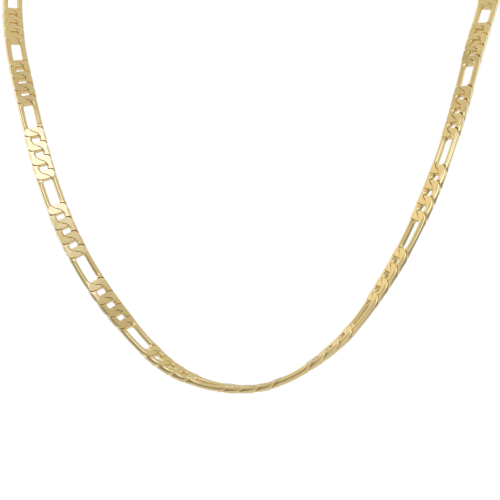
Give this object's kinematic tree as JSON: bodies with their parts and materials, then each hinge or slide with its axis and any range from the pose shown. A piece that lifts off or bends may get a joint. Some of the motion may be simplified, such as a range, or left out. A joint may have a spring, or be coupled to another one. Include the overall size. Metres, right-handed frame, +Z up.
{
  "type": "figaro chain necklace",
  "caption": "Flat figaro chain necklace of short curb links between long ones, a closed loop with a claw clasp, in the form it hangs in when worn.",
  "frame": {"origin": "behind the neck, in the middle of the clasp, where the necklace hangs", "axes": "+Z up, the front of the necklace towards -Y, +X to the right as seen from the front"},
  "size_m": [0.1101, 0.1121, 0.1394],
  "materials": {
    "gold": "polished pale yellow gold plating, ground flat on both faces of the band"
  },
  "bodies": {
    "root": {"chain_left": "gold", "chain_right": "gold", "clasp": "gold", "clasp_ring": "gold", "end_ring": "gold"}
  },
  "joints": []
}
